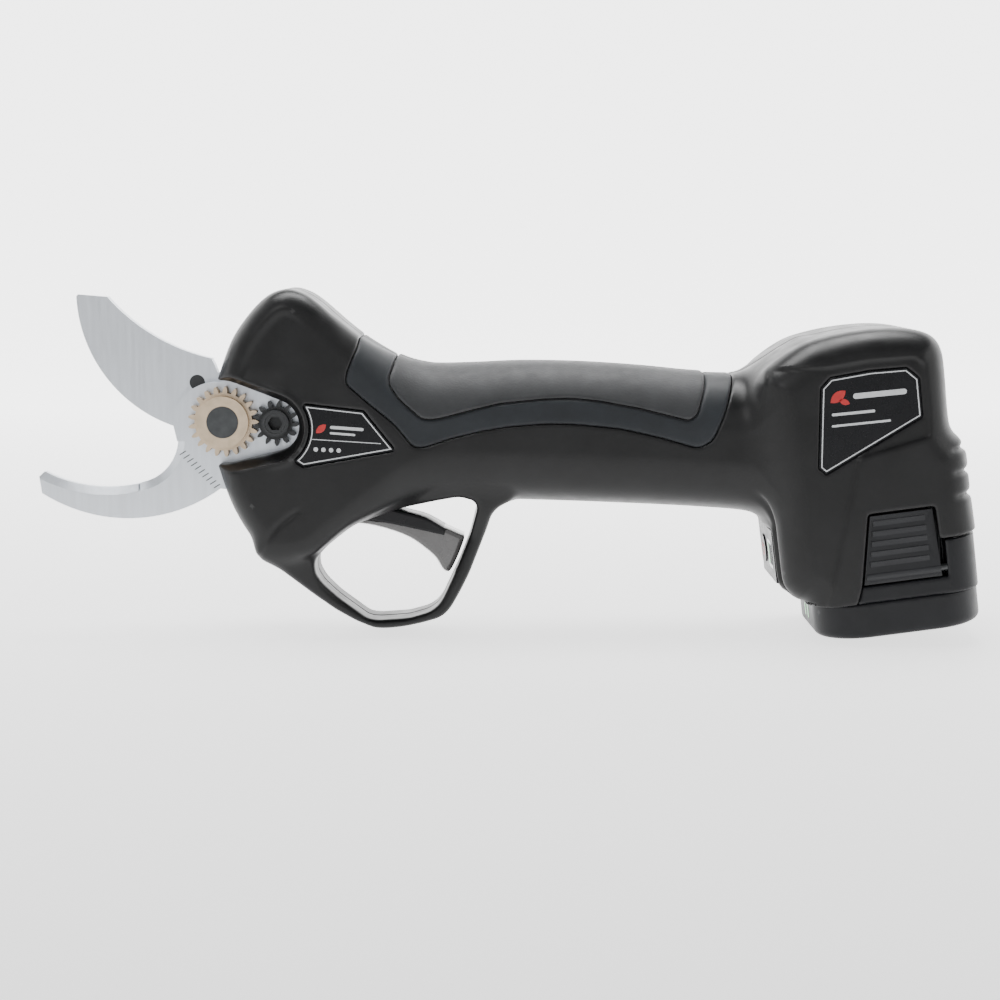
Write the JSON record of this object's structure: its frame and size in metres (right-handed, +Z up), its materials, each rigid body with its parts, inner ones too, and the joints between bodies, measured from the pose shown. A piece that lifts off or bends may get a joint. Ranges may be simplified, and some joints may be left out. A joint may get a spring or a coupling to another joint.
{
  "type": "battery electric pruner",
  "caption": "Hand-held bypass pruner with a curved moving blade, hooked fixed blade, trigger in a guard, rubber-inlaid handle and slide-out battery in the rear block.",
  "frame": {"origin": "centre of the bounding box at its lowest face, which is the surface that the tool stands on", "axes": "+X back along the handle from the blades to the battery, +Z up, +Y to the side away from the blade nut"},
  "size_m": [0.2649, 0.0482, 0.0977],
  "materials": {
    "blade_steel": "fine satin grind",
    "dark_steel": "blackened",
    "bronze": "sintered, matt",
    "bright_steel": "ground",
    "frame_alloy": "die cast",
    "cell": "shrink-wrapped cell",
    "casing_black": "fine spark-eroded texture",
    "band_rubber": "soft overmould, dark",
    "pad_rubber": "soft overmould, grey, stippled",
    "trigger_plastic": "semi-gloss",
    "battery_black": "matt",
    "label": "printed plate",
    "lens": "clear green lens",
    "board": "circuit board",
    "wire": "insulated wire"
  },
  "bodies": {
    "tool": {"fixed_blade": "blade_steel", "pivot_bolt": "dark_steel", "lock_screw": "dark_steel", "gear_frame": "frame_alloy", "frame_screws": "dark_steel", "pinion_bearing": "bright_steel", "ring_gear": "bright_steel", "motor_can": "bright_steel", "motor_magnets": "bright_steel", "motor_end_cap": "casing_black", "motor_bearings": "bright_steel", "motor_wires": "wire", "main_board": "board", "power_wires": "wire", "trigger_pin": "bright_steel", "trigger_spring": "bright_steel", "sensor_board": "board", "casing_left": "casing_black", "casing_right": "casing_black", "grip_band_left": "band_rubber", "grip_band_right": "band_rubber", "grip_pad_left": "pad_rubber", "grip_pad_right": "pad_rubber", "casing_screws": "dark_steel", "head_labels": "label", "side_labels": "label", "power_panel": "label", "power_window": "lens", "bay_terminals": "casing_black"},
    "cutter": {"moving_blade": "blade_steel", "pivot_bush": "bronze", "drive_dowels": "bright_steel", "sector_gear": "bright_steel"},
    "nut": {"blade_nut": "bronze"},
    "lock_gear": {"lock_gear": "dark_steel"},
    "pinion": {"bevel_pinion": "bright_steel"},
    "planet_a": {"planet_gear_a": "bright_steel"},
    "planet_b": {"planet_gear_b": "bright_steel"},
    "planet_c": {"planet_gear_c": "bright_steel"},
    "rotor": {"rotor": "bright_steel"},
    "trigger": {"trigger": "trigger_plastic", "trigger_magnet": "bright_steel"},
    "power_button": {"power_button": "trigger_plastic"},
    "battery": {"battery_case": "battery_black", "battery_base": "battery_black", "battery_cells": "cell", "cell_straps": "bronze", "battery_board": "board", "battery_sockets": "bronze", "catch_pins": "bright_steel", "catch_springs": "bright_steel", "charge_lights": "lens"},
    "catch_left": {"catch_left": "battery_black"},
    "catch_right": {"catch_right": "battery_black"}
  },
  "joints": [
    {"name": "blade_swing", "type": "hinge", "parent": "tool", "child": "cutter", "pos_m": [-0.0808, 0, 0.0606], "axis": [0, -1, 0], "range_deg": [0, 55]},
    {"name": "pinion_spin", "type": "hinge", "parent": "tool", "child": "pinion", "pos_m": [-0.0808, 0, 0.0606], "axis": [0.9993, 0, -0.0384], "range_deg": [-1, 271]},
    {"name": "rotor_spin", "type": "hinge", "parent": "tool", "child": "rotor", "pos_m": [-0.0808, 0, 0.0606], "axis": [0.9993, 0, -0.0384], "range_deg": [-2, 1217]},
    {"name": "planet_a_spin", "type": "hinge", "parent": "pinion", "child": "planet_a", "pos_m": [-0.03383, 0.0081, 0.0588], "axis": [0.9993, 0, -0.0384], "range_deg": [-758, 2]},
    {"name": "planet_b_spin", "type": "hinge", "parent": "pinion", "child": "planet_b", "pos_m": [-0.03356, -0.00405, 0.06581], "axis": [0.9993, 0, -0.0384], "range_deg": [-758, 2]},
    {"name": "planet_c_spin", "type": "hinge", "parent": "pinion", "child": "planet_c", "pos_m": [-0.0341, -0.00405, 0.05179], "axis": [0.9993, 0, -0.0384], "range_deg": [-758, 2]},
    {"name": "nut_turn", "type": "hinge", "parent": "tool", "child": "nut", "pos_m": [-0.0808, 0, 0.0606], "axis": [0, -1, 0], "range_deg": [-15, 15]},
    {"name": "lock_gear_turn", "type": "hinge", "parent": "tool", "child": "lock_gear", "pos_m": [-0.06618, 0, 0.0602], "axis": [0, -1, 0], "range_deg": [-25, 25]},
    {"name": "trigger_pull", "type": "hinge", "parent": "tool", "child": "trigger", "pos_m": [-0.0498, 0, 0.0346], "axis": [0, -1, 0], "range_deg": [0, 12], "stiffness_Nm_per_rad": 0.12, "springref_deg": -20.05, "deforming": ["trigger_spring"]},
    {"name": "power_press", "type": "slide", "parent": "tool", "child": "power_button", "axis": [0.9914, 0, 0.1305], "range_m": [0, 0.0005], "stiffness_N_per_m": 900, "springref_m": -0.0008},
    {"name": "battery_slide", "type": "slide", "parent": "tool", "child": "battery", "axis": [0.1305, 0, -0.9914], "range_m": [0, 0.07]},
    {"name": "catch_left_press", "type": "hinge", "parent": "battery", "child": "catch_left", "pos_m": [0.10496, -0.0222, 0.02025], "axis": [-0.9914, 0, -0.1305], "range_deg": [0, 3.5], "stiffness_Nm_per_rad": 0.08, "springref_deg": -6.88, "deforming": ["catch_springs"]},
    {"name": "catch_right_press", "type": "hinge", "parent": "battery", "child": "catch_right", "pos_m": [0.10496, 0.0222, 0.02025], "axis": [0.9914, 0, 0.1305], "range_deg": [0, 3.5], "stiffness_Nm_per_rad": 0.08, "springref_deg": -6.88, "deforming": ["catch_springs"]}
  ],
  "couplings": [
    {"joint": "pinion_spin", "follows": "blade_swing", "ratio": 4.9091},
    {"joint": "rotor_spin", "follows": "blade_swing", "ratio": 22.091},
    {"joint": "planet_a_spin", "follows": "blade_swing", "ratio": -13.745},
    {"joint": "planet_b_spin", "follows": "blade_swing", "ratio": -13.745},
    {"joint": "planet_c_spin", "follows": "blade_swing", "ratio": -13.745},
    {"joint": "lock_gear_turn", "follows": "nut_turn", "ratio": -1.6154}
  ]
}
